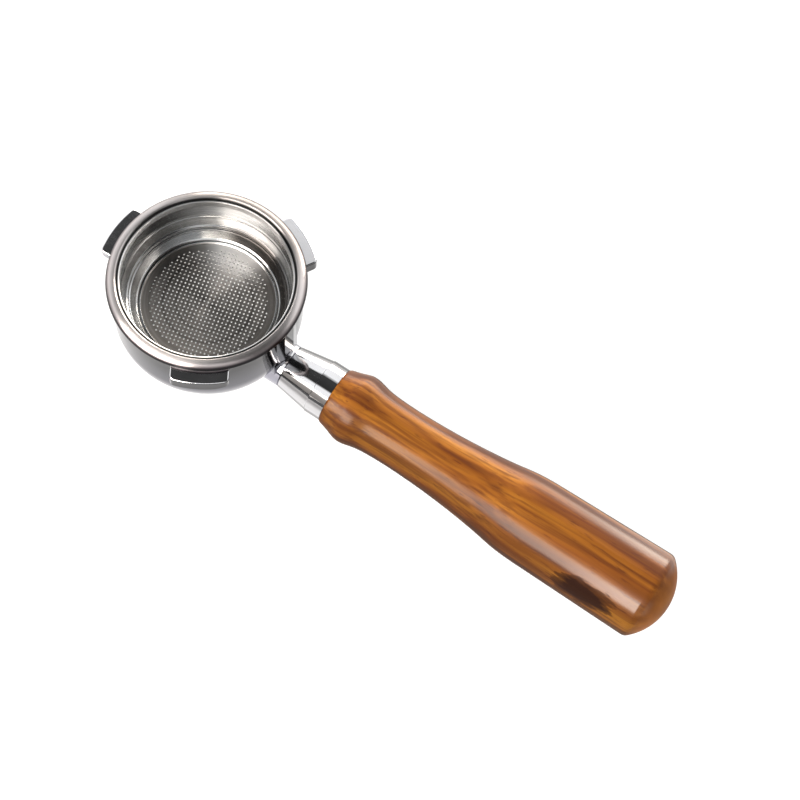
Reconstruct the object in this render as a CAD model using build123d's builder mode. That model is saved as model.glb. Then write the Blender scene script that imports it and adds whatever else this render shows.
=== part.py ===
"""Bottomless portafilter for a 51 mm espresso group, with a turned wooden handle.

Frame: +Z runs up the axis of the bowl towards its mouth, +X runs out towards the handle, and the
origin is the centre of the round outlet in the flat base. Lengths are in millimetres.

Two axes carry everything. The bowl, basket and spring are turned about Z. The neck, collar, stud,
insert and grip are turned about the handle axis, which leaves the bowl low down and droops.
Profiles about Z are drawn as (radius, height). Profiles about the handle axis are drawn as
(distance along the handle from the bowl axis, radius).
"""

import os
from math import asin, cos, radians, sin

from build123d import *

os.makedirs("parts", exist_ok=True)

# ---- bowl casting ----
OVERALL_HEIGHT = 34.0  # base to the top of the basket's rim
RIM_THICKNESS = 3.0  # rolled rim of the basket, which sits on the casting
RIM_Z = OVERALL_HEIGHT - RIM_THICKNESS
WALL_R = 28.8
BORE_R = 26.75
BOWL_START_Z = 17.5  # the outside wall is straight above this height
BOWL_ARC_R = 18.0
BOWL_ARC_DEG = 30.0
BASE_R = 20.6
OUTLET_R = 18.4
OUTLET_LENGTH = 2.5
CAVITY_START_Z = 18.0
EDGE_ROUND = 0.5

# ---- bayonet lugs ----
LUG_COUNT = 3
LUG_START_DEG = 60.0
LUG_R = 33.6
LUG_HEIGHT = 4.0
LUG_SPAN_DEG = 30.0
LUG_CORNER_R = 1.6
LUG_TOP_FALL = 0.35  # the top face falls away towards the tip
LUG_RAMP_LENGTH = 4.0
LUG_RAMP_RISE = 1.2

# ---- retaining spring and its groove ----
WIRE_R = 0.55
SPRING_R = 26.95
SPRING_Z = OVERALL_HEIGHT - 6.5
SPRING_GAP_DEG = 36.0
GROOVE_R = 27.6
GROOVE_HALF_HEIGHT = 0.75

# ---- filter basket ----
SHEET = 0.6
FLANGE_R = 30.0
MOUTH_R = 25.75
CREST_R = 27.0  # the highest line of the rolled rim
CREST_FALL = 2.1  # the crest rounds over by this much on its way to the widest line
SHOULDER_DEPTH = 8.4
WAIST_R = 24.0
WAIST_DEPTH = 12.6
LEDGE_R = 21.5
LEDGE_DEPTH = 16.0
FLOOR_R = 20.3
FLOOR_DEPTH = 16.6

# ---- handle axis ----
AXIS_DEPTH = 25.3  # below the top of the rim, where the handle axis meets the bowl axis
DROOP_DEG = 5.0
PAD_END = 29.4
PAD_R = 7.0
INNER_BOSS_START = 22.8
INNER_BOSS_R = 5.6
FACET_X = 29.3
FACET_HALF_WIDTH = 2.3
FACET_SIDE_X = 28.0
FACET_SIDE_Y = 6.2

# ---- neck, collar and fastening ----
NECK_END = 40.6
NECK_FRONT_R = 7.05
NECK_REAR_R = 8.75
NECK_BEVEL = 0.4
COLLAR_END = 45.9
COLLAR_R = 8.95
COLLAR_BORE_R = 6.3
STUD_R = 4.0
STUD_PITCH = 1.25
STUD_THREAD_DEPTH = 0.45
STUD_START = 23.9
STUD_END = 58.0
STUD_HOLE_R = 4.1
WASHER_THICKNESS = 1.6
WASHER_R = 6.1
WASHER_GAP_DEG = 14.0
INSERT_R = 5.5
INSERT_LENGTH = 18.0
INSERT_RIBS = 24
INSERT_RIB_R = 0.35

# ---- grip ----
SPIGOT_R = 6.2
GRIP_FRONT_R = 8.75
BULGE = (53.8, 11.3)
SHOULDER = (119.0, 13.6)
TAIL = (158.0, 14.2)
GRIP_END = 164.7
TAIL_ROUND = 2.8

droop = radians(DROOP_DEG)
handle_direction = Vector(cos(droop), 0, -sin(droop))
handle_origin = Vector(0, 0, OVERALL_HEIGHT - AXIS_DEPTH)
handle_axis = Axis(handle_origin, handle_direction)
# local x runs along the handle, local y away from its axis
handle_profile = Plane(origin=handle_origin, x_dir=handle_direction, z_dir=(0, -1, 0))


def across_handle(distance):
    """The plane square to the handle axis, this far from the bowl axis."""
    return Plane(origin=handle_origin + handle_direction * distance, x_dir=(0, 1, 0), z_dir=handle_direction)


# ---- one bayonet lug, pointing along +X ----
lug_half = radians(LUG_SPAN_DEG / 2)
lug_root = WALL_R - 1.2
lug_side = LUG_R * sin(lug_half)
lug_tip = LUG_R * cos(lug_half)
lug_inner = lug_root * cos(lug_half)
with BuildPart() as lug:
    with BuildSketch(Plane.XY.offset(RIM_Z - LUG_HEIGHT)):
        with BuildLine():
            Line((lug_inner, -lug_side), (lug_tip, -lug_side))
            ThreePointArc((lug_tip, -lug_side), (LUG_R, 0), (lug_tip, lug_side))
            Line((lug_tip, lug_side), (lug_inner, lug_side))
            Line((lug_inner, lug_side), (lug_inner, -lug_side))
        make_face()
    extrude(amount=LUG_HEIGHT)
    lug_tips = lug.edges().filter_by(Axis.Z).group_by(Axis.X)[-1]
    fillet(lug_tips, LUG_CORNER_R)
    # the leading end is thinned from below, so that it slides onto the ramp of the group
    with BuildSketch(Plane.YZ.offset(lug_inner)):
        with BuildLine():
            Polyline(
                (lug_side, RIM_Z - LUG_HEIGHT),
                (lug_side, RIM_Z - LUG_HEIGHT + LUG_RAMP_RISE),
                (lug_side - LUG_RAMP_LENGTH, RIM_Z - LUG_HEIGHT),
                close=True,
            )
        make_face()
    extrude(amount=LUG_R, mode=Mode.SUBTRACT)
    # the top face falls away towards the tip
    with BuildSketch(Plane.XZ):
        with BuildLine():
            Polyline((lug_root, RIM_Z), (LUG_R + 1, RIM_Z), (LUG_R + 1, RIM_Z - LUG_TOP_FALL), close=True)
        make_face()
    extrude(amount=LUG_R, both=True, mode=Mode.SUBTRACT)
    lug_outer = lug.faces().filter_by(GeomType.CYLINDER).sort_by(Axis.X)[-1]
    fillet(lug_outer.edges().group_by(Axis.Z)[-1], EDGE_ROUND)

# ---- holder_body: the cast bowl with its lugs and the root of the handle ----
bowl_turn = radians(BOWL_ARC_DEG)
bowl_end = (WALL_R - BOWL_ARC_R * (1 - cos(bowl_turn)), BOWL_START_Z - BOWL_ARC_R * sin(bowl_turn))
with BuildPart() as holder_body:
    with BuildSketch(Plane.XZ):
        with BuildLine():
            Line((0, 0), (0, RIM_Z))
            Line((0, RIM_Z), (WALL_R, RIM_Z))
            wall = Line((WALL_R, RIM_Z), (WALL_R, BOWL_START_Z))
            upper_bowl = TangentArc(wall @ 1, bowl_end, tangent=wall % 1)
            lower_bowl = TangentArc(upper_bowl @ 1, (BASE_R, 0), tangent=upper_bowl % 1)
            Line((BASE_R, 0), (0, 0))
        make_face()
    revolve(axis=Axis.Z)
    with PolarLocations(0, LUG_COUNT, start_angle=LUG_START_DEG):
        add(lug.part)
    # a faceted pad joins the wall to the neck
    with BuildSketch(Plane.XY.offset(handle_origin.Z)):
        with BuildLine():
            Polyline(
                (BORE_R, -FACET_SIDE_Y),
                (FACET_SIDE_X, -FACET_SIDE_Y),
                (FACET_X, -FACET_HALF_WIDTH),
                (FACET_X, FACET_HALF_WIDTH),
                (FACET_SIDE_X, FACET_SIDE_Y),
                (BORE_R, FACET_SIDE_Y),
                close=True,
            )
        make_face()
    extrude(amount=RIM_Z - EDGE_ROUND - handle_origin.Z)
    with BuildSketch(across_handle(BASE_R)):
        Circle(PAD_R)
    extrude(amount=PAD_END - BASE_R)
    # bore, spring groove, bowl cavity and outlet
    with BuildSketch(Plane.XZ):
        with BuildLine():
            Polyline((0, RIM_Z), (BORE_R, RIM_Z), (BORE_R, CAVITY_START_Z))
            TangentArc((BORE_R, CAVITY_START_Z), (OUTLET_R, OUTLET_LENGTH), tangent=(0, -1))
            Polyline((OUTLET_R, OUTLET_LENGTH), (OUTLET_R, 0), (0, 0), (0, RIM_Z))
        make_face()
        with Locations(((BORE_R + GROOVE_R) / 2, SPRING_Z)):
            Rectangle(GROOVE_R - BORE_R, 2 * GROOVE_HALF_HEIGHT)
    revolve(axis=Axis.Z, mode=Mode.SUBTRACT)
    with BuildSketch(across_handle(INNER_BOSS_START)):
        Circle(INNER_BOSS_R)
    extrude(amount=PAD_END - INNER_BOSS_START - 1)
    with BuildSketch(across_handle(STUD_START - 0.3)):
        Circle(STUD_HOLE_R)
    extrude(amount=PAD_END - STUD_START + 0.3, mode=Mode.SUBTRACT)

# ---- neck_stem: plated sleeve that flares from the bowl to the collar ----
with BuildPart() as neck_stem:
    with BuildSketch(handle_profile):
        with BuildLine():
            Line((PAD_END, STUD_HOLE_R), (PAD_END, NECK_FRONT_R - NECK_BEVEL))
            Line((PAD_END, NECK_FRONT_R - NECK_BEVEL), (PAD_END + NECK_BEVEL, NECK_FRONT_R))
            Line((PAD_END + NECK_BEVEL, NECK_FRONT_R), (NECK_END - NECK_BEVEL / 2, NECK_REAR_R))
            Line((NECK_END - NECK_BEVEL / 2, NECK_REAR_R), (NECK_END, NECK_REAR_R - NECK_BEVEL / 2))
            Line((NECK_END, NECK_REAR_R - NECK_BEVEL / 2), (NECK_END, STUD_HOLE_R))
            Line((NECK_END, STUD_HOLE_R), (PAD_END, STUD_HOLE_R))
        make_face()
    revolve(axis=handle_axis)

# ---- ferrule: plated collar around the front of the grip ----
with BuildPart() as ferrule:
    with BuildSketch(handle_profile) as ferrule_section:
        with Locations(((NECK_END + COLLAR_END) / 2, (COLLAR_BORE_R + COLLAR_R) / 2)):
            Rectangle(COLLAR_END - NECK_END, COLLAR_R - COLLAR_BORE_R)
        front_edge = ferrule_section.vertices().group_by(Axis.Z)[-1].sort_by(Axis.X)[0]
        fillet(front_edge, EDGE_ROUND)
    revolve(axis=handle_axis)

# ---- handle_stud: threaded rod from the bowl into the grip ----
thread_turns = int((STUD_END - STUD_START) / STUD_PITCH)
with BuildPart() as handle_stud:
    with BuildSketch(handle_profile):
        with BuildLine():
            thread = [(STUD_START, 0), (STUD_START, STUD_R - STUD_THREAD_DEPTH)]
            for turn in range(thread_turns):
                crest = STUD_START + (turn + 0.5) * STUD_PITCH
                thread.append((crest, STUD_R))
                thread.append((crest + STUD_PITCH / 2, STUD_R - STUD_THREAD_DEPTH))
            thread.append((STUD_END, STUD_R - STUD_THREAD_DEPTH))
            thread.append((STUD_END, 0))
            Polyline(*thread, close=True)
        make_face()
    revolve(axis=handle_axis)

# ---- spring_washer: split ring that keeps the grip tight against the neck ----
with BuildPart() as spring_washer:
    with BuildSketch(across_handle(NECK_END)):
        Circle(WASHER_R)
        Circle(STUD_HOLE_R, mode=Mode.SUBTRACT)
    extrude(amount=WASHER_THICKNESS)
    with BuildSketch(across_handle(NECK_END)):
        with Locations(((STUD_HOLE_R + WASHER_R) / 2, 0)):
            Rectangle(2 * (WASHER_R - STUD_HOLE_R), WASHER_R * radians(WASHER_GAP_DEG))
    extrude(amount=WASHER_THICKNESS, mode=Mode.SUBTRACT)

# ---- threaded_insert: ribbed brass bush in the grip ----
insert_start = NECK_END + WASHER_THICKNESS
with BuildPart() as threaded_insert:
    with BuildSketch(across_handle(insert_start)):
        Circle(INSERT_R)
        with PolarLocations(INSERT_R, INSERT_RIBS):
            Circle(INSERT_RIB_R, mode=Mode.SUBTRACT)
        Circle(STUD_R + 0.05, mode=Mode.SUBTRACT)
    extrude(amount=INSERT_LENGTH)

# ---- handle_grip: turned wood with a bulged nose, a slim waist and a heavy domed tail ----
insert_end = insert_start + INSERT_LENGTH
# the tail is a cap of a sphere centred on the handle axis
dome_height = GRIP_END - TAIL[0]
dome_r = (TAIL[1] ** 2 + dome_height**2) / (2 * dome_height)
dome_half_angle = asin(TAIL[1] / dome_r) / 2
dome_middle = (GRIP_END - dome_r * (1 - cos(dome_half_angle)), dome_r * sin(dome_half_angle))
with BuildPart() as handle_grip:
    with BuildSketch(handle_profile) as grip_section:
        with BuildLine():
            Polyline(
                (insert_end + 4, 0),
                (insert_end + 4, STUD_HOLE_R),
                (insert_end, STUD_HOLE_R),
                (insert_end, INSERT_R + 0.02),
                (insert_start, INSERT_R + 0.02),
                (insert_start, SPIGOT_R),
                (COLLAR_END, SPIGOT_R),
                (COLLAR_END, GRIP_FRONT_R),
            )
            Spline((COLLAR_END, GRIP_FRONT_R), (47.5, 9.6), (50.8, 10.6), BULGE, tangents=((0.5, 1), (1, 0)))
            Spline(
                BULGE,
                (58.6, 10.45),
                (64.5, 9.8),
                (75.0, 9.72),
                (91.0, 10.6),
                (105.0, 12.25),
                SHOULDER,
                tangents=((1, 0), (TAIL[0] - SHOULDER[0], TAIL[1] - SHOULDER[1])),
            )
            Line(SHOULDER, TAIL)
            ThreePointArc(TAIL, dome_middle, (GRIP_END, 0))
            Line((GRIP_END, 0), (insert_end + 4, 0))
        make_face()
        tail_corner = grip_section.vertices().sort_by_distance(TAIL)[0]
        fillet(tail_corner, TAIL_ROUND)
    revolve(axis=handle_axis)

# ---- retaining_spring: open wire ring in the groove of the bowl ----
with BuildPart() as retaining_spring:
    with BuildSketch(Plane.XZ):
        with Locations((SPRING_R, SPRING_Z)):
            Circle(WIRE_R)
    revolve(axis=Axis.Z, revolution_arc=360 - SPRING_GAP_DEG)

# ---- filter_basket: pressed sheet cup with a rolled rim ----
top = OVERALL_HEIGHT
crest_inner_r = CREST_R - MOUTH_R
curl_r = RIM_THICKNESS - CREST_FALL
with BuildPart() as filter_basket:
    with BuildSketch(Plane.XZ):
        with BuildLine():
            # inside, from the middle of the floor up to the rim
            Polyline(
                (0, top - FLOOR_DEPTH),
                (FLOOR_R, top - FLOOR_DEPTH),
                (FLOOR_R + 0.4, top - LEDGE_DEPTH - 0.2),
                (LEDGE_R, top - LEDGE_DEPTH),
                (WAIST_R - 0.6, top - WAIST_DEPTH - 1.4),
                (WAIST_R, top - WAIST_DEPTH),
                (MOUTH_R - 0.3, top - SHOULDER_DEPTH - 0.6),
                (MOUTH_R, top - SHOULDER_DEPTH),
                (MOUTH_R, top - crest_inner_r),
            )
            TangentArc((MOUTH_R, top - crest_inner_r), (CREST_R, top), tangent=(0, 1))
            EllipticalCenterArc((CREST_R, top - CREST_FALL), FLANGE_R - CREST_R, CREST_FALL, arc_size=90)
            TangentArc(
                (FLANGE_R, top - CREST_FALL),
                (FLANGE_R - curl_r, top - RIM_THICKNESS),
                tangent=(0, -1),
            )
            # outside, back down to the middle of the floor
            Polyline(
                (FLANGE_R - curl_r, top - RIM_THICKNESS),
                (MOUTH_R + SHEET + 0.3, top - RIM_THICKNESS),
                (MOUTH_R + SHEET, top - RIM_THICKNESS - 0.3),
                (MOUTH_R + SHEET, top - SHOULDER_DEPTH),
                (MOUTH_R + SHEET - 0.3, top - SHOULDER_DEPTH - 0.7),
                (WAIST_R + SHEET, top - WAIST_DEPTH - 0.1),
                (WAIST_R + SHEET - 0.6, top - WAIST_DEPTH - 1.5),
                (LEDGE_R + SHEET - 0.1, top - LEDGE_DEPTH - SHEET + 0.2),
                (FLOOR_R + SHEET, top - FLOOR_DEPTH - SHEET),
                (0, top - FLOOR_DEPTH - SHEET),
                (0, top - FLOOR_DEPTH),
            )
        make_face()
    revolve(axis=Axis.Z)

pieces = {
    "holder_body": holder_body,
    "neck_stem": neck_stem,
    "ferrule": ferrule,
    "spring_washer": spring_washer,
    "handle_stud": handle_stud,
    "threaded_insert": threaded_insert,
    "handle_grip": handle_grip,
    "retaining_spring": retaining_spring,
    "filter_basket": filter_basket,
}
for label, piece in pieces.items():
    piece.part.label = label
    export_step(piece.part, f"parts/{label}.step")
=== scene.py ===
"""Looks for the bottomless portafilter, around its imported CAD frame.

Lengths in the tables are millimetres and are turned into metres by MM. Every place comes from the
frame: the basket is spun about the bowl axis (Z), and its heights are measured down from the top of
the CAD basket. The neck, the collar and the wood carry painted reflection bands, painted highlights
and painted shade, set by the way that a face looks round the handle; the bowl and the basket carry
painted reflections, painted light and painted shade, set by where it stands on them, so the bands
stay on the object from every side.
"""

import math

import bmesh
import bpy
import numpy as np
from mathutils import Matrix, Vector
from mathutils.geometry import delaunay_2d_cdt


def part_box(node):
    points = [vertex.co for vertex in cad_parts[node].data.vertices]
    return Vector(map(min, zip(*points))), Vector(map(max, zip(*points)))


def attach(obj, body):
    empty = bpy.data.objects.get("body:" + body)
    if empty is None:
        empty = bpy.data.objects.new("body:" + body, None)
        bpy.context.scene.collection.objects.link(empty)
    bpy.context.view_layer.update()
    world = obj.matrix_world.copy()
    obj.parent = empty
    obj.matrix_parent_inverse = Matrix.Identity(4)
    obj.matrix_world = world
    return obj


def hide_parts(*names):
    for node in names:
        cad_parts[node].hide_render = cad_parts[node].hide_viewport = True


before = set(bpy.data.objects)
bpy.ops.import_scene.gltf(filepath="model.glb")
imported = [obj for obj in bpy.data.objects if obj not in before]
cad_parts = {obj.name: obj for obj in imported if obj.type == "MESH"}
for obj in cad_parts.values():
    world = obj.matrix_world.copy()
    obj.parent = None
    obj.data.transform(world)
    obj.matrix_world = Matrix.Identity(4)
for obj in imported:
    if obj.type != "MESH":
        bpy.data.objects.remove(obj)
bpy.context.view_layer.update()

MM = 0.001
MOUTH_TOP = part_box("filter_basket")[1].z
BASE_R = 20.6 * MM
# the basket's rolled rim
FLANGE_R = 30.0 * MM
DROOP = math.radians(5.0)

# ---- camera ----
CAMERA_AZIMUTH = math.radians(-52.2)
CAMERA_ELEVATION = math.radians(62.18)
CAMERA_DISTANCE = 0.700
CAMERA_AIM = Vector((62.14 * MM, 11.53 * MM, 0))
CAMERA_ROLL = math.radians(5.62)
CAMERA_LENS = 105.93


def make_camera():
    """A camera that stands off from the middle of the mouth and looks at a point on the handle."""
    flat = math.cos(CAMERA_ELEVATION)
    outward = Vector(
        (flat * math.cos(CAMERA_AZIMUTH), flat * math.sin(CAMERA_AZIMUTH), math.sin(CAMERA_ELEVATION))
    )
    eye = Vector((0, 0, MOUTH_TOP)) + CAMERA_DISTANCE * outward
    forward = (CAMERA_AIM - eye).normalized()
    level = forward.cross(Vector((0, 0, 1))).normalized()
    above = level.cross(forward)
    right = math.cos(CAMERA_ROLL) * level + math.sin(CAMERA_ROLL) * above
    up = math.cos(CAMERA_ROLL) * above - math.sin(CAMERA_ROLL) * level
    data = bpy.data.cameras.new("camera")
    data.lens = CAMERA_LENS
    data.clip_start = 0.01
    data.clip_end = 20
    camera = bpy.data.objects.new("camera", data)
    turn = Matrix((right, up, -forward)).transposed().to_4x4()
    camera.matrix_world = Matrix.Translation(eye) @ turn
    bpy.context.scene.collection.objects.link(camera)
    bpy.context.scene.camera = camera


make_camera()
bpy.context.scene.view_settings.view_transform = "Standard"


# ---- node helpers ----
class Nodes:
    """A node tree with short calls: add() makes a node, sets its fields and links or sets its inputs."""

    def __init__(self, tree):
        self.tree = tree
        tree.nodes.clear()

    def add(self, kind, fields=None, **inputs):
        made = self.tree.nodes.new(kind)
        for field, value in (fields or {}).items():
            setattr(made, field, value)
        for name, value in inputs.items():
            self.put(made, name.replace("_", " "), value)
        return made

    def put(self, made, name, value):
        """Link or set an input, by its name, or by its number as i0, i1 and so on."""
        key = int(name[1:]) if name[0] == "i" and name[1:].isdigit() else name
        socket = made.inputs[key]
        if isinstance(value, bpy.types.NodeSocket):
            self.tree.links.new(value, socket)
        else:
            socket.default_value = value

    def math(self, operation, first, second=0.0, third=0.0, clamp=False):
        fields = {"operation": operation, "use_clamp": clamp}
        return self.add("ShaderNodeMath", fields, i0=first, i1=second, i2=third).outputs[0]

    def vector(self, operation, *values):
        inputs = {f"i{k}": value for k, value in enumerate(values)}
        made = self.add("ShaderNodeVectorMath", {"operation": operation}, **inputs)
        return made.outputs["Value" if operation in ("DOT_PRODUCT", "LENGTH") else "Vector"]

    def apart(self, vector):
        return self.add("ShaderNodeSeparateXYZ", Vector=vector).outputs

    def ramp(self, value, stops):
        """A ramp through (place, tone) or (place, colour) stops."""
        made = self.add("ShaderNodeValToRGB", Fac=value)
        elements = made.color_ramp.elements
        while len(elements) < len(stops):
            elements.new(0.5)
        for element, (place, colour) in zip(elements, stops):
            element.position = place
            element.color = (*colour, 1) if isinstance(colour, tuple) else (colour, colour, colour, 1)
        return made.outputs[0]

    def mix(self, factor, first, second, blend="MIX"):
        made = self.add("ShaderNodeMix", {"data_type": "RGBA", "blend_type": blend})
        self.put(made, "i0", factor)
        self.put(made, "i6", first)
        self.put(made, "i7", second)
        return made.outputs[2]

    def multiply(self, first, second):
        return self.mix(1.0, first, second, "MULTIPLY")

    def noise(self, vector, scale, detail=2.0, roughness=0.5):
        made = self.add("ShaderNodeTexNoise", Vector=vector, Scale=scale, Detail=detail, Roughness=roughness)
        return made.outputs["Fac"]

    def stretch(self, vector, scale, rotation=(0, 0, 0)):
        return self.add("ShaderNodeMapping", Vector=vector, Scale=scale, Rotation=rotation).outputs[0]

    def facing(self):
        return self.add("ShaderNodeNewGeometry").outputs["Normal"]

    def bump(self, height, distance, strength=1.0):
        return self.add("ShaderNodeBump", Height=height, Distance=distance, Strength=strength).outputs[0]


def material(name):
    """A new material: itself, its nodes, its shader, and the place on the object in metres."""
    made = bpy.data.materials.new(name)
    made.use_nodes = True
    nodes = Nodes(made.node_tree)
    shader = nodes.add("ShaderNodeBsdfPrincipled")
    output = nodes.add("ShaderNodeOutputMaterial")
    nodes.put(output, "Surface", shader.outputs[0])
    place = nodes.add("ShaderNodeTexCoord").outputs["Object"]
    return made, nodes, shader, place


def way_round(nodes, across, up, wobble=0.0):
    """0..1 for the way that (across, up) points: 0.5 is straight up, and more turns towards across."""
    angle = nodes.math("ARCTAN2", across, up)
    angle = nodes.math("ADD", angle, wobble)
    return nodes.math("MULTIPLY_ADD", angle, 0.5 / math.pi, 0.5)


def round_handle(nodes, direction, wobble=0.0):
    """way_round for a direction seen along the handle: 0.5 is straight up, more turns towards -Y."""
    parts = nodes.apart(direction)
    return way_round(nodes, nodes.math("MULTIPLY", parts[1], -1.0), parts[2], wobble)


def around(tones):
    """Ramp stops from (degrees, tone) pairs, for way_round."""
    return [(0.5 + degrees / 360, tone) for degrees, tone in tones]


# ---- plated metal ----
PLATE_LIGHT = (0.88, 0.88, 0.90)
PLATE_CLOUDED = tuple(0.94 * c for c in PLATE_LIGHT)
PLATE_WAVE = 0.01 * MM

# painted reflection bands and painted shade on the neck and collar: (degrees round the handle from straight
# up towards -Y, tone)
HANDLE_PAINTED_REFLECTIONS = [
    (-180, 0.45),
    (-50, 0.04),
    (-42, 0.38),
    (-30, 0.50),
    (-22, 1.0),
    (32, 1.0),
    (37, 0.03),
    (48, 0.018),
    (51, 0.25),
    (61, 0.25),
    (69, 0.66),
    (84, 0.78),
    (92, 0.25),
    (180, 0.35),
]
# painted shade and painted reflections down the bowl's wall, dark below the rim and paler further down:
# (height as a share of the full height, colour)
BOWL_PAINTED_SHADE = [
    (0.0, (0.60, 0.60, 0.66)),
    (0.20, (0.45, 0.45, 0.50)),
    (0.40, (0.20, 0.20, 0.22)),
    (0.80, (0.09, 0.09, 0.09)),
    (0.90, (0.12, 0.12, 0.12)),
]
# painted light: the side of the bowl away from the handle is painted paler, from its start to its start plus
# its span
PAINTED_LIGHT_SIDE = (0.86, 0.86, 0.90, 1)
PAINTED_LIGHT_START = 16.5 * MM
PAINTED_LIGHT_SPAN = 30.0 * MM


def painted_handle_reflections(nodes, place, cloud):
    """Painted reflection bands and painted shade, by the way that a face looks round the handle."""
    wobble = nodes.math("MULTIPLY_ADD", cloud, 0.08, -0.04)
    return nodes.ramp(round_handle(nodes, nodes.facing(), wobble), around(HANDLE_PAINTED_REFLECTIONS))


def painted_bowl_shade(nodes, place, cloud):
    """Painted shade and painted reflections on the bowl: dusky on the wall below the rim, paler further down
    and painted lighter on the side away from the handle, full elsewhere.
    """
    parts = nodes.apart(place)
    flat = nodes.add("ShaderNodeCombineXYZ", X=parts[0], Y=parts[1]).outputs[0]
    level = nodes.math("MULTIPLY", parts[2], 1 / MOUTH_TOP)
    level = nodes.math("ADD", level, nodes.math("MULTIPLY_ADD", cloud, 0.10, -0.05))
    beside = nodes.math("MULTIPLY_ADD", parts[0], -1 / PAINTED_LIGHT_SPAN, -PAINTED_LIGHT_START / PAINTED_LIGHT_SPAN, clamp=True)
    # painted shade down the wall, mixed towards painted light on the side away from the handle
    wall = nodes.mix(beside, nodes.ramp(level, BOWL_PAINTED_SHADE), PAINTED_LIGHT_SIDE)
    facing = nodes.facing()
    outside = nodes.math("GREATER_THAN", nodes.vector("DOT_PRODUCT", facing, flat), 0.0)
    upright = nodes.ramp(nodes.apart(facing)[2], [(0.62, 1.0), (0.72, 0.0)])
    return nodes.mix(nodes.math("MULTIPLY", upright, outside), (1, 1, 1, 1), wall)


def plated(name, painted_tones):
    """Polished plating over a casting: faint waviness and hairline wipe marks, its colour multiplied by the
    painted reflection bands and painted shade of the function passed in.
    """
    made, nodes, shader, place = material(name)
    nodes.put(shader, "Metallic", 1.0)
    cloud = nodes.noise(place, 120, 3)
    wipes = nodes.noise(nodes.stretch(place, (400, 2600, 900), (0.3, 0.5, 0.2)), 1, 3)
    colour = nodes.ramp(cloud, [(0.3, PLATE_CLOUDED), (0.7, PLATE_LIGHT)])
    # the plating's colour carries painted reflection bands and painted shade
    nodes.put(shader, "Base Color", nodes.multiply(colour, painted_tones(nodes, place, cloud)))
    both = nodes.math("MULTIPLY", cloud, wipes)
    spread = nodes.add(
        "ShaderNodeMapRange", Value=both, From_Min=0.12, From_Max=0.42, To_Min=0.05, To_Max=0.12
    )
    nodes.put(shader, "Roughness", spread.outputs[0])
    nodes.put(shader, "Normal", nodes.bump(nodes.noise(place, 140, 2), PLATE_WAVE))
    return made


# ---- spun steel ----
# painted reflection bands across the rolled rim, bright at its lip, dark in a thin line and at its outer
# edge: (radius as a share of the rim's, colour), from its lip to its outer edge
RIM_PAINTED_BANDS = [
    (0.871, (0.95, 0.95, 0.95)),
    (0.875, (0.06, 0.06, 0.06)),
    (0.895, (0.06, 0.06, 0.06)),
    (0.903, (0.70, 0.66, 0.65)),
    (0.930, (0.88, 0.83, 0.82)),
    (0.962, (0.80, 0.74, 0.73)),
    (0.978, (0.38, 0.34, 0.34)),
    (0.990, (0.04, 0.035, 0.04)),
    (0.998, (0.015, 0.015, 0.015)),
]
# painted light and painted shade round the bowl, on the rim and on the wall: (degrees from +X towards +Y,
# tone)
RIM_PAINTED_SHADE_SIDES = [(-180, 1.0), (30, 1.0), (55, 0.35), (100, 0.28), (130, 0.45), (155, 1.0)]
WALL_PAINTED_LIGHT_AND_SHADE = [
    (-180, 0.60),
    (-160, 0.60),
    (-148, 1.35),
    (-130, 1.35),
    (-120, 1.0),
    (50, 1.1),
    (64, 0.50),
    (76, 0.50),
    (90, 1.0),
    (120, 1.2),
    (160, 0.70),
    (180, 0.60),
]
# painted shade: a dark band low on the wall: (depth in units of DEPTH_UNIT, share), and where round the bowl
# it lies
DEPTH_UNIT = 20.0 * MM
PAINTED_WALL_SHADE_DEPTHS = [(0.16, 0.15), (0.54, 0.15), (0.64, 0.95), (0.79, 0.95), (0.80, 0.0)]
PAINTED_WALL_SHADE_DIRECTION = (0.50, 0.87, 0.0)
PAINTED_WALL_SHADE_SIDES = [(0.30, 0.0), (0.75, 1.0)]
PAINTED_WALL_SHADE_COLOUR = (0.06, 0.054, 0.050, 1)
# painted highlight: a pale fan painted onto the floor: (cosine of the angle from its middle, share), and
# (radius as a share of the rim's, share)
PAINTED_FAN_DIRECTION = (-0.12, 0.99, 0.0)
PAINTED_FAN_TONES = [(0.72, 0.0), (0.88, 0.30), (0.98, 1.0)]
PAINTED_FAN_REACH = [(0.12, 0.0), (0.36, 0.25), (0.52, 1.0)]
PAINTED_FAN_COLOUR = (0.88, 0.87, 0.86, 1)
HOLE_WALL_PAINTED_LIGHT = (0.85, 0.85, 0.83, 1)
FLOOR_TOP = 16.2 * MM
RIM_FROM = 25.6 * MM
RIM_DEPTH = 3.2 * MM
HOLES_WITHIN = 18.7 * MM


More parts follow.
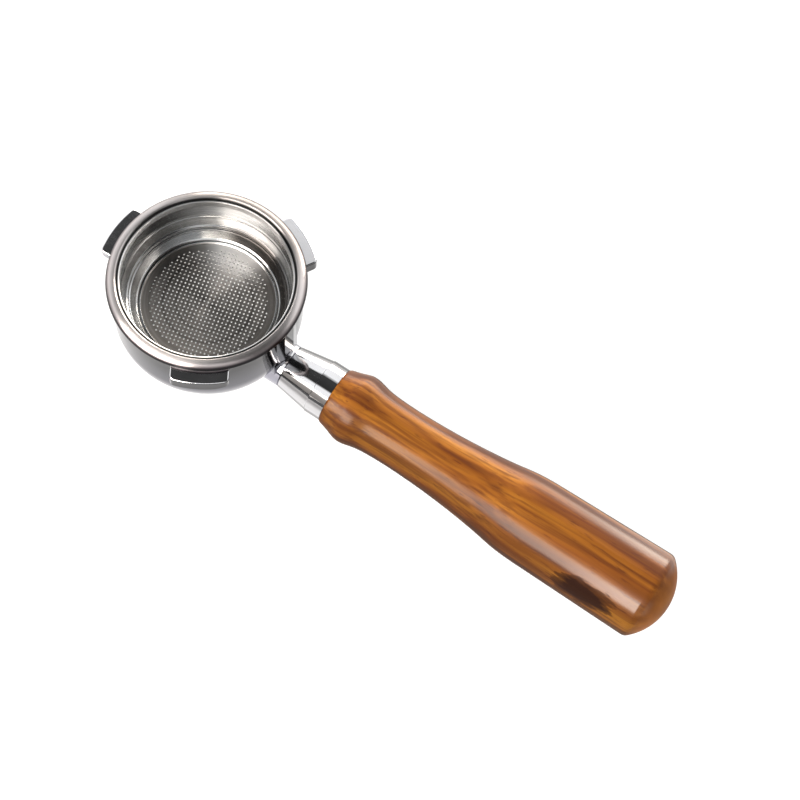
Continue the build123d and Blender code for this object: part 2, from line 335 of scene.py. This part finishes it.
def spun_steel(name):
    """Pressed and spun stainless sheet: fine rings about the bowl axis, with painted reflection bands,
    painted shade and a painted highlight on rim, wall and floor.
    """
    made, nodes, shader, place = material(name)
    parts = nodes.apart(place)
    flat = nodes.add("ShaderNodeCombineXYZ", X=parts[0], Y=parts[1]).outputs[0]
    spoke = nodes.vector("NORMALIZE", flat)
    radius = nodes.vector("LENGTH", flat)
    share = nodes.math("MULTIPLY", radius, 1 / FLANGE_R)
    depth = nodes.math("MULTIPLY_ADD", parts[2], -1 / DEPTH_UNIT, MOUTH_TOP / DEPTH_UNIT)
    bearing = way_round(nodes, parts[1], parts[0])
    rings = nodes.add("ShaderNodeCombineXYZ", X=radius, Y=parts[2]).outputs[0]
    drift = nodes.vector("MULTIPLY_ADD", place, (0.012, 0.012, 0.0), rings)
    fine = nodes.noise(drift, 5200, 4, 0.6)
    broad = nodes.noise(drift, 900, 3, 0.5)

    wall = nodes.ramp(broad, [(0.3, (0.38, 0.385, 0.385)), (0.7, (0.70, 0.715, 0.725))])
    # painted light and painted shade round the bowl on the wall
    wall = nodes.multiply(wall, nodes.ramp(bearing, around(WALL_PAINTED_LIGHT_AND_SHADE)))
    aside = nodes.ramp(nodes.vector("DOT_PRODUCT", spoke, PAINTED_WALL_SHADE_DIRECTION), PAINTED_WALL_SHADE_SIDES)
    # painted shade: a dark band low on one side of the wall
    wall = nodes.mix(nodes.multiply(nodes.ramp(depth, PAINTED_WALL_SHADE_DEPTHS), aside), wall, PAINTED_WALL_SHADE_COLOUR)

    # painted reflection bands across the rim, with painted shade round the bowl
    rim = nodes.multiply(nodes.ramp(share, RIM_PAINTED_BANDS), nodes.ramp(bearing, around(RIM_PAINTED_SHADE_SIDES)))
    near_top = nodes.math("LESS_THAN", depth, RIM_DEPTH / DEPTH_UNIT)
    on_rim = nodes.math("MULTIPLY", nodes.math("GREATER_THAN", radius, RIM_FROM), near_top)

    floor = nodes.ramp(broad, [(0.3, (0.17, 0.158, 0.147)), (0.7, (0.34, 0.32, 0.30))])
    towards = nodes.vector("DOT_PRODUCT", spoke, PAINTED_FAN_DIRECTION)
    fan = nodes.ramp(nodes.math("ADD", towards, nodes.math("MULTIPLY", broad, 0.04)), PAINTED_FAN_TONES)
    # painted highlight: a pale fan on the floor
    floor = nodes.mix(nodes.multiply(fan, nodes.ramp(share, PAINTED_FAN_REACH)), floor, PAINTED_FAN_COLOUR)
    on_floor = nodes.math("LESS_THAN", parts[2], MOUTH_TOP - FLOOR_TOP)

    # painted light: the walls of the holes are pale and not metallic, so that the holes show as bright dots
    level = nodes.math("ABSOLUTE", nodes.apart(nodes.facing())[2])
    in_field = nodes.math("LESS_THAN", radius, HOLES_WITHIN)
    in_hole = nodes.math("MULTIPLY", nodes.math("LESS_THAN", level, 0.4), in_field)

    tint = nodes.mix(on_floor, nodes.mix(on_rim, wall, rim), floor)
    nodes.put(shader, "Base Color", nodes.mix(in_hole, tint, HOLE_WALL_PAINTED_LIGHT))
    nodes.put(shader, "Metallic", nodes.math("SUBTRACT", 1.0, in_hole))
    least = nodes.math("MULTIPLY_ADD", on_floor, 0.16, nodes.math("MULTIPLY_ADD", on_rim, 0.12, 0.12))
    nodes.put(shader, "Roughness", nodes.math("MULTIPLY_ADD", broad, 0.12, least))
    nodes.put(shader, "Anisotropic", 0.85)
    nodes.put(shader, "Anisotropic Rotation", 0.25)
    turn = nodes.add("ShaderNodeTangent", {"direction_type": "RADIAL", "axis": "Z"}).outputs[0]
    nodes.put(shader, "Tangent", turn)
    nodes.put(shader, "Normal", nodes.bump(fine, 0.0012 * MM))
    return made


# ---- small turned and drawn metal ----
def drawn_metal(name, tint):
    """Drawn or turned metal seen only in gaps: plain, slightly uneven."""
    made, nodes, shader, place = material(name)
    nodes.put(shader, "Metallic", 1.0)
    cloud = nodes.noise(place, 900, 4)
    nodes.put(shader, "Base Color", nodes.ramp(cloud, [(0.3, tuple(0.8 * c for c in tint)), (0.7, tint)]))
    nodes.put(shader, "Roughness", nodes.ramp(cloud, [(0.3, 0.2), (0.7, 0.35)]))
    return made


# ---- wood ----
STAIN_CENTRE = (141.5 * MM, -13.0 * MM, 1.6 * MM)
STAIN_LENGTH = 11.0 * MM
STAIN_WIDTH = 5.0 * MM
STAIN_COLOUR = (0.026, 0.007, 0.003, 1)
WOOD_COLOURS = [
    (0.36, (0.100, 0.030, 0.006)),
    (0.45, (0.190, 0.060, 0.010)),
    (0.55, (0.270, 0.098, 0.014)),
    (0.66, (0.345, 0.138, 0.018)),
]
TAIL_COLOURS = [(0.35, (0.22, 0.072, 0.012)), (0.65, (0.30, 0.105, 0.016))]
# painted shade and painted highlight on the wood, and the weight of its polish: (degrees round the handle
# from straight up towards -Y, tone)
WOOD_PAINTED_SHADE_AND_HIGHLIGHT = [
    (-180, 0.15),
    (-60, 0.15),
    (-54, 1.0),
    (-40, 1.0),
    (-28, 1.5),
    (-14, 1.4),
    (-2, 1.0),
    (30, 1.0),
    (38, 0.62),
    (50, 0.62),
    (60, 0.47),
    (84, 0.47),
    (93, 0.22),
    (180, 0.25),
]
POLISH_SIDES = [
    (-180, 0.0),
    (-60, 0.0),
    (-54, 1.0),
    (-34, 1.0),
    (-16, 0.35),
    (8, 0.10),
    (26, 0.10),
    (34, 0.95),
    (48, 0.95),
    (56, 0.0),
    (180, 0.0),
]
# along the handle, in units of HANDLE_UNIT from the bowl axis
HANDLE_UNIT = 200.0
POLISH_LENGTHS = [(0.25, 0.36), (0.50, 0.26), (0.65, 0.55), (0.75, 1.0), (0.785, 1.0), (0.80, 0.0)]
TAIL_LENGTHS = [(0.785, 0.0), (0.805, 1.0)]


def polished_wood(name):
    """Oiled hardwood: long straight streaks of gold, orange and red-brown, short flecks, one dark stain,
    with painted shade and a painted highlight round the handle.
    """
    made, nodes, shader, place = material(name)
    # millimetres, with x along the handle, and the same bent a little for the run of the grain
    along = nodes.stretch(place, (1 / MM, 1 / MM, 1 / MM), (0, -DROOP, 0))
    warp = nodes.noise(nodes.stretch(along, (0.02, 0.05, 0.05)), 1, 2)
    grain = nodes.vector("MULTIPLY_ADD", warp, (0.0, 2.5, 2.5), along)
    broad = nodes.noise(nodes.stretch(grain, (0.010, 0.15, 0.15)), 1, 2, 0.5)
    streak = nodes.noise(nodes.stretch(grain, (0.014, 0.42, 0.42)), 1, 3, 0.6)
    line = nodes.noise(nodes.stretch(grain, (0.020, 0.85, 0.85)), 1, 2, 0.5)
    fleck = nodes.noise(nodes.stretch(grain, (0.16, 1.1, 1.1)), 1, 2, 0.5)
    colour = nodes.ramp(broad, WOOD_COLOURS)
    colour = nodes.mix(nodes.ramp(streak, [(0.48, 0.0), (0.64, 0.65)]), colour, (0.090, 0.026, 0.008, 1))
    colour = nodes.mix(nodes.ramp(line, [(0.46, 0.0), (0.66, 0.55)]), colour, (0.080, 0.022, 0.008, 1))
    colour = nodes.mix(nodes.ramp(fleck, [(0.62, 0.0), (0.74, 0.6)]), colour, (0.06, 0.018, 0.009, 1))

    # the stain: a long oval near the tail with a ragged edge
    offset = nodes.vector("SUBTRACT", place, STAIN_CENTRE)
    oval = nodes.stretch(offset, (1 / STAIN_LENGTH, 1 / STAIN_WIDTH, 1 / STAIN_WIDTH), (0, -DROOP, 0))
    ragged = nodes.noise(nodes.stretch(grain, (0.10, 0.5, 0.5)), 1, 4, 0.6)
    away = nodes.math("ADD", nodes.vector("LENGTH", oval), -0.65)
    away = nodes.math("MULTIPLY_ADD", ragged, 1.3, away)
    stain = nodes.ramp(away, [(0.55, 0.97), (0.92, 0.60), (1.05, 0.0)])
    colour = nodes.mix(stain, colour, STAIN_COLOUR)

    side = round_handle(nodes, nodes.facing())
    length = nodes.math("MULTIPLY", nodes.apart(along)[0], 1 / HANDLE_UNIT)
    # painted shade on the side towards -Y and a painted highlight on the side towards +Y
    colour = nodes.multiply(colour, nodes.ramp(side, around(WOOD_PAINTED_SHADE_AND_HIGHLIGHT)))
    colour = nodes.mix(nodes.ramp(length, TAIL_LENGTHS), colour, nodes.ramp(broad, TAIL_COLOURS))
    polish = nodes.multiply(nodes.ramp(length, POLISH_LENGTHS), nodes.ramp(side, around(POLISH_SIDES)))
    nodes.put(shader, "Base Color", colour)
    nodes.put(shader, "Roughness", 0.5)
    nodes.put(shader, "Specular IOR Level", 0.05)
    nodes.put(shader, "Coat Weight", nodes.mix(stain, polish, (0, 0, 0, 1)))
    nodes.put(shader, "Coat Roughness", 0.22)
    nodes.put(shader, "Normal", nodes.bump(line, 0.01 * MM, 0.4))
    return made


# ---- mesh helpers ----
ARC_STEP_DEG = 9.0
NEARLY_STRAIGHT = math.radians(89.5)
SHARP_EDGE = math.radians(32)
WELD = 0.0005 * MM


def rounded(corners):
    """A polyline through (across, along, fillet radius) corners, with each corner turned into an arc."""
    points = []
    last = len(corners) - 1
    for i, (a, b, fillet) in enumerate(corners):
        here = np.array((a, b))
        if i in (0, last) or fillet <= 0:
            points.append(here)
            continue
        to_last = np.array(corners[i - 1][:2]) - here
        to_next = np.array(corners[i + 1][:2]) - here
        len_last = np.linalg.norm(to_last)
        len_next = np.linalg.norm(to_next)
        to_last = to_last / len_last
        to_next = to_next / len_next
        half = math.acos(np.clip(to_last @ to_next, -1, 1)) / 2
        if half > NEARLY_STRAIGHT:
            points.append(here)
            continue
        reach = min(fillet / math.tan(half), 0.49 * len_last, 0.49 * len_next)
        radius = reach * math.tan(half)
        middle = (to_last + to_next) / np.linalg.norm(to_last + to_next)
        centre = here + middle * math.hypot(reach, radius)
        start = here + to_last * reach - centre
        end = here + to_next * reach - centre
        turn = math.atan2(start[0] * end[1] - start[1] * end[0], start @ end)
        steps = max(2, math.ceil(abs(math.degrees(turn)) / ARC_STEP_DEG))
        for k in range(steps + 1):
            c, s = math.cos(turn * k / steps), math.sin(turn * k / steps)
            points.append(centre + np.array((c * start[0] - s * start[1], s * start[0] + c * start[1])))
    return points


def finish_mesh(name, mesh, made_of, body, node):
    """Shade a mesh smooth between its sharp edges, and put it on a body in place of a CAD node."""
    mesh.validate()
    mesh.shade_smooth()
    mesh.set_sharp_from_angle(angle=SHARP_EDGE)
    piece = bpy.data.objects.new(name, mesh)
    bpy.context.scene.collection.objects.link(piece)
    mesh.materials.append(made_of)
    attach(piece, body)
    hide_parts(node)


def spin(outline, segments):
    """Vertices and faces of an open surface of revolution about Z, from (radius, height) points."""
    rows = []
    verts, faces = [], []
    for r, z in outline:
        rows.append(range(len(verts), len(verts) + segments))
        for k in range(segments):
            a = 2 * math.pi * k / segments
            verts.append((r * math.cos(a), r * math.sin(a), z))
    for low, high in zip(rows, rows[1:]):
        for k in range(segments):
            j = (k + 1) % segments
            faces.append((low[k], low[j], high[j], high[k]))
    return verts, faces


# ---- filter basket ----
SHEET = 0.6
FIELD_R = 18.1
HOLE_R = 0.28
HOLE_PITCH = 1.27
HOLE_SIDES = 10
GRID_TURN = math.radians(13.3)
RIM_SEGMENTS = 256
PLATE_R = 18.8
FLOOR_DEPTH = 16.6

# the rolled rim rounds over from its crest to its widest line, then curls in below
CREST_R, RIM_R, CREST_FALL = 27.3, 30.0, 2.1
RIM_CREST = [
    (
        CREST_R + (RIM_R - CREST_R) * math.sin(math.radians(a)),
        CREST_FALL * (1 - math.cos(math.radians(a))),
        0,
    )
    for a in range(0, 100, 10)
]

# (radius, depth below the rim, fillet), from the plate over the inside to the rim, and back outside
BASKET_OUTLINE = [
    (PLATE_R, FLOOR_DEPTH, 0),
    (20.2, FLOOR_DEPTH, 0.3),
    (20.45, 16.1, 0.25),
    (21.0, 16.1, 0.25),
    (21.15, 16.35, 0.15),
    (21.7, 16.0, 0.5),
    (23.2, 13.8, 0.5),
    (23.35, 13.35, 0.12),
    (23.75, 13.2, 0.12),
    (24.0, 12.6, 0.2),
    (24.5, 12.3, 0.25),
    (25.35, 9.1, 0.8),
    (25.55, 8.8, 0.1),
    (25.75, 8.2, 0.4),
    (25.75, 0.75, 0.45),
    (26.40, 0.60, 0.12),
    (26.55, 0.80, 0.10),
    (26.75, 0.45, 0.20),
    *RIM_CREST,
    (29.35, 3.0, 0.2),
    (26.35, 3.0, 0.25),
    (26.35, 8.4, 0.4),
    (25.1, 12.5, 0.5),
    (24.0, 14.1, 0.5),
    (22.3, 16.4, 0.5),
    (20.9, 17.2, 0.4),
    (PLATE_R, FLOOR_DEPTH + SHEET, 0),
]


def hole_centres():
    """A square grid of holes, turned a little about the middle, filled out to the field's radius."""
    count = int(FIELD_R / HOLE_PITCH) + 2
    c, s = math.cos(GRID_TURN), math.sin(GRID_TURN)
    for row in range(-count, count + 1):
        for column in range(-count, count + 1):
            x, y = column * HOLE_PITCH, row * HOLE_PITCH
            if math.hypot(x, y) <= FIELD_R:
                yield c * x - s * y, s * x + c * y


def perforated_plate():
    """The round plate with its holes left open: 2D points, triangles, and each hole's ring of points."""
    ring = [2 * math.pi * k / RIM_SEGMENTS for k in range(RIM_SEGMENTS)]
    points = [(PLATE_R * math.cos(a), PLATE_R * math.sin(a)) for a in ring]
    loops = [list(range(RIM_SEGMENTS))]
    for cx, cy in hole_centres():
        loops.append(list(range(len(points), len(points) + HOLE_SIDES)))
        for k in range(HOLE_SIDES):
            a = 2 * math.pi * k / HOLE_SIDES
            points.append((cx + HOLE_R * math.cos(a), cy + HOLE_R * math.sin(a)))
    edges = [(loop[k], loop[(k + 1) % len(loop)]) for loop in loops for k in range(len(loop))]
    made = delaunay_2d_cdt([Vector(p) for p in points], edges, [], 0, 1e-7)
    co = np.array([v[:] for v in made[0]])
    tris = np.array([f[:] for f in made[2]])
    sources = [s[0] if s else -1 for s in made[3]]
    # a triangle whose corners are all on one hole's ring lies inside that hole
    owner = np.full(len(points), -1)
    for i, loop in enumerate(loops[1:]):
        owner[loop] = i
    who = np.array([owner[s] if s >= 0 else -1 for s in sources])[tris]
    inside = (who[:, 0] >= 0) & (who[:, 0] == who[:, 1]) & (who[:, 0] == who[:, 2])
    where = {s: i for i, s in enumerate(sources) if s >= 0}
    rings = [[where[s] for s in loop] for loop in loops[1:]]
    return co, tris[~inside], rings


def make_basket(made_of):
    """The spun cup and its perforated plate as one welded sheet, which stands for the CAD basket."""
    outline = [(r * MM, MOUTH_TOP - d * MM) for r, d in rounded(BASKET_OUTLINE)]
    verts, faces = spin(outline, RIM_SEGMENTS)
    co, tris, rings = perforated_plate()
    upper = MOUTH_TOP - FLOOR_DEPTH * MM
    lower = upper - SHEET * MM
    first_upper = len(verts)
    verts += [(x * MM, y * MM, upper) for x, y in co]
    first_lower = len(verts)
    verts += [(x * MM, y * MM, lower) for x, y in co]
    for a, b, c in tris:
        faces.append((first_upper + a, first_upper + b, first_upper + c))
        faces.append((first_lower + c, first_lower + b, first_lower + a))
    for ring in rings:
        for a, b in zip(ring, ring[1:] + ring[:1]):
            faces.append((first_upper + b, first_upper + a, first_lower + a, first_lower + b))
    mesh = bpy.data.meshes.new("filter_basket_sheet")
    mesh.from_pydata(verts, [], faces)
    work = bmesh.new()
    work.from_mesh(mesh)
    bmesh.ops.remove_doubles(work, verts=work.verts, dist=WELD)
    bmesh.ops.recalc_face_normals(work, faces=work.faces)
    work.to_mesh(mesh)
    work.free()
    finish_mesh("perforated_basket", mesh, made_of, "basket", "filter_basket")


make_basket(spun_steel("spun_stainless"))


# ---- the CAD's own pieces ----
def dress(node, made_of):
    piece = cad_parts[node]
    piece.data.materials.clear()
    piece.data.materials.append(made_of)


dress("holder_body", plated("plated_casting", painted_bowl_shade))
dress("neck_stem", plated("plated_neck", painted_handle_reflections))
dress("ferrule", plated("plated_collar", painted_handle_reflections))
dress("handle_grip", polished_wood("polished_wood"))
dress("retaining_spring", drawn_metal("spring_wire", (0.60, 0.60, 0.61)))
dress("handle_stud", drawn_metal("zinc_steel", (0.55, 0.55, 0.57)))
dress("spring_washer", drawn_metal("spring_steel", (0.45, 0.45, 0.46)))
dress("threaded_insert", drawn_metal("turned_brass", (0.80, 0.60, 0.27)))


# ---- floor and backdrop ----
FLOOR_HALF = 3.0
FLOOR_DROP = 0.2 * MM
BACKDROP_R = 8.0


def resting_slope():
    """Slope of the plane that the part rests on: its base's far edge and its handle's underside."""
    slope = 0.0
    for node in ("handle_grip", "ferrule", "neck_stem", "holder_body"):
        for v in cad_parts[node].data.vertices:
            if v.co.x > BASE_R:
                slope = min(slope, v.co.z / (v.co.x + BASE_R))
    return slope


def make_floor():
    """A flat square that the part rests on, just clear of it, plain and matt with a studio's glow."""
    slope = resting_slope()
    corners = [
        (-FLOOR_HALF, -FLOOR_HALF),
        (FLOOR_HALF, -FLOOR_HALF),
        (FLOOR_HALF, FLOOR_HALF),
        (-FLOOR_HALF, FLOOR_HALF),
    ]
    mesh = bpy.data.meshes.new("floor")
    mesh.from_pydata([(x, y, slope * (x + BASE_R) - FLOOR_DROP) for x, y in corners], [], [(0, 1, 2, 3)])
    floor = bpy.data.objects.new("floor", mesh)
    bpy.context.scene.collection.objects.link(floor)
    made, nodes, shader, _ = material("pale_floor")
    nodes.put(shader, "Base Color", (0.25, 0.25, 0.25, 1))
    nodes.put(shader, "Roughness", 0.7)
    nodes.put(shader, "Emission Color", (1, 1, 1, 1))
    nodes.put(shader, "Emission Strength", 0.86)
    mesh.materials.append(made)


def make_backdrop():
    """A white dome far round the scene, seen only by the camera: it neither lights nor reflects."""
    mesh = bpy.data.meshes.new("backdrop")
    work = bmesh.new()
    bmesh.ops.create_uvsphere(work, u_segments=32, v_segments=16, radius=BACKDROP_R)
    work.to_mesh(mesh)
    work.free()
    dome = bpy.data.objects.new("backdrop", mesh)
    bpy.context.scene.collection.objects.link(dome)
    dome.visible_diffuse = False
    dome.visible_glossy = False
    dome.visible_transmission = False
    dome.visible_shadow = False
    made, nodes, shader, _ = material("white_backdrop")
    nodes.put(shader, "Emission Color", (1, 1, 1, 1))
    nodes.put(shader, "Emission Strength", 1.0)
    mesh.materials.append(made)


# ---- studio light ----
# brightness of the studio, seen along the handle: (degrees from straight up towards -Y, tone)
SKY_TONES = [
    (-95, 0.75),
    (-60, 1.0),
    (-31, 1.05),
    (-25, 0.05),
    (20, 0.03),
    (26, 1.05),
    (50, 1.05),
    (62, 0.50),
    (95, 0.42),
]
# the studio's two ends along X: where each begins, and its colour
TAIL_END_FROM = 0.72
TAIL_END = (0.40, 0.40, 0.40, 1)
BOWL_END_FROM = 0.56
BOWL_END = (0.95, 0.95, 0.95, 1)
END_BLEND = 5.0


def make_world():
    """A banded studio: dark above the handle, bright to both sides, with an even tone at each end."""
    world = bpy.data.worlds.new("studio")
    bpy.context.scene.world = world
    world.use_nodes = True
    nodes = Nodes(world.node_tree)
    direction = nodes.add("ShaderNodeTexCoord").outputs["Generated"]
    x = nodes.apart(direction)[0]
    tail_end = nodes.math("MULTIPLY_ADD", x, END_BLEND, -END_BLEND * TAIL_END_FROM, clamp=True)
    bowl_end = nodes.math("MULTIPLY_ADD", x, -END_BLEND, -END_BLEND * BOWL_END_FROM, clamp=True)
    band = nodes.ramp(round_handle(nodes, direction), around(SKY_TONES))
    band = nodes.mix(tail_end, band, TAIL_END)
    band = nodes.mix(bowl_end, band, BOWL_END)
    shader = nodes.add("ShaderNodeBackground", Color=band, Strength=1.0)
    output = nodes.add("ShaderNodeOutputWorld")
    nodes.put(output, "Surface", shader.outputs[0])


def softbox(name, target, direction, distance, size, power, colour):
    """A rectangular lamp that stands off from its target in a direction and faces it."""
    data = bpy.data.lights.new(name, "AREA")
    data.shape = "RECTANGLE"
    data.size, data.size_y = size
    data.energy = power
    data.color = colour
    lamp = bpy.data.objects.new(name, data)
    bpy.context.scene.collection.objects.link(lamp)
    away = Vector(direction).normalized()
    lamp.location = Vector(target) + away * distance
    lamp.rotation_euler = away.to_track_quat("Z", "Y").to_euler()


make_floor()
make_backdrop()
make_world()
softbox("side_strip", (0.06, 0, 0), (-0.29, -0.82, 0.49), 1.0, (1.1, 0.56), 24, (1.0, 0.92, 0.85))
softbox("back_strip", (0.12, 0, 0), (-0.20, 0.955, 0.22), 1.2, (1.4, 0.60), 26, (1.0, 0.90, 0.78))
softbox("top_lamp", (0, 0, 0.017), (-0.18, 0.09, 0.98), 1.0, (0.10, 0.10), 0.08, (1, 1, 1))
